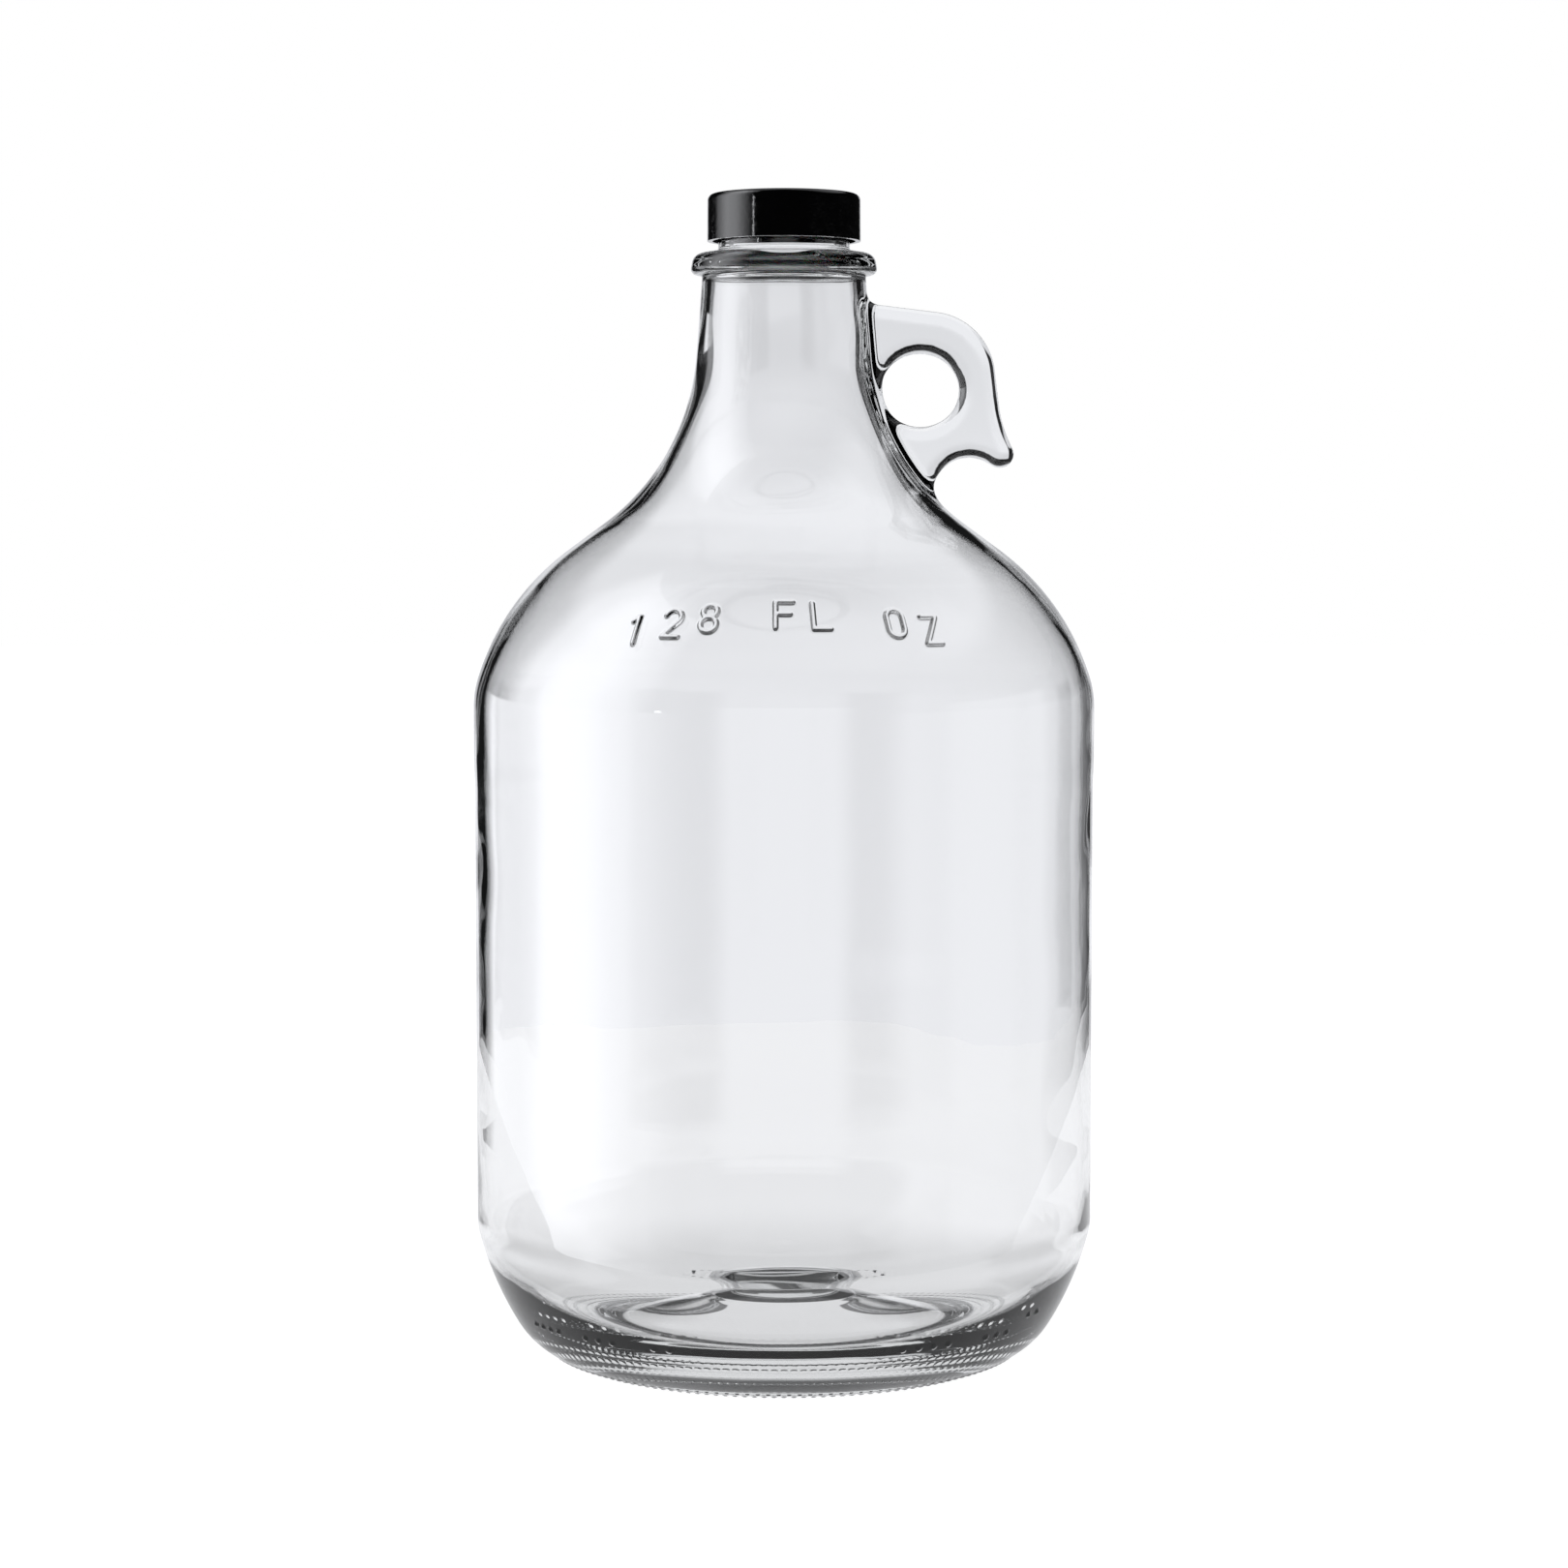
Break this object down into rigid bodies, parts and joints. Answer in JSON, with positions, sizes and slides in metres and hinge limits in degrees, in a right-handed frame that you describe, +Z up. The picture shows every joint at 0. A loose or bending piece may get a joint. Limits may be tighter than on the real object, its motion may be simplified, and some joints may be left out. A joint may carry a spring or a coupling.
{
  "type": "glass jug",
  "caption": "Large round clear-glass water jug with a narrow threaded neck, a moulded finger-ring handle and a black screw cap.",
  "frame": {"origin": "centre of the bearing ring that the jug stands on, on the axis of the body and neck", "axes": "+Z up along the axis of the body, neck and cap; +X towards the handle; the raised capacity mark faces -Y"},
  "size_m": [0.165, 0.165, 0.3085],
  "materials": {
    "clear_glass": "clear, smooth flint glass",
    "black_cap": "gloss",
    "white_liner": "waxy satin"
  },
  "bodies": {
    "jug": {"glass_jug": "clear_glass"},
    "liner": {"cap_liner": "white_liner"},
    "cap": {"screw_cap": "black_cap"}
  },
  "joints": [
    {"name": "cap_lift", "type": "slide", "parent": "jug", "child": "liner", "axis": [0, 0, 1], "range_m": [0, 0.01376]},
    {"name": "cap_turn", "type": "hinge", "parent": "liner", "child": "cap", "pos_m": [0, 0, 0.3], "axis": [0, 0, 1], "range_deg": [0, 1170]}
  ],
  "couplings": [
    {"joint": "cap_turn", "follows": "cap_lift", "rad_per_m": 1484.2}
  ]
}
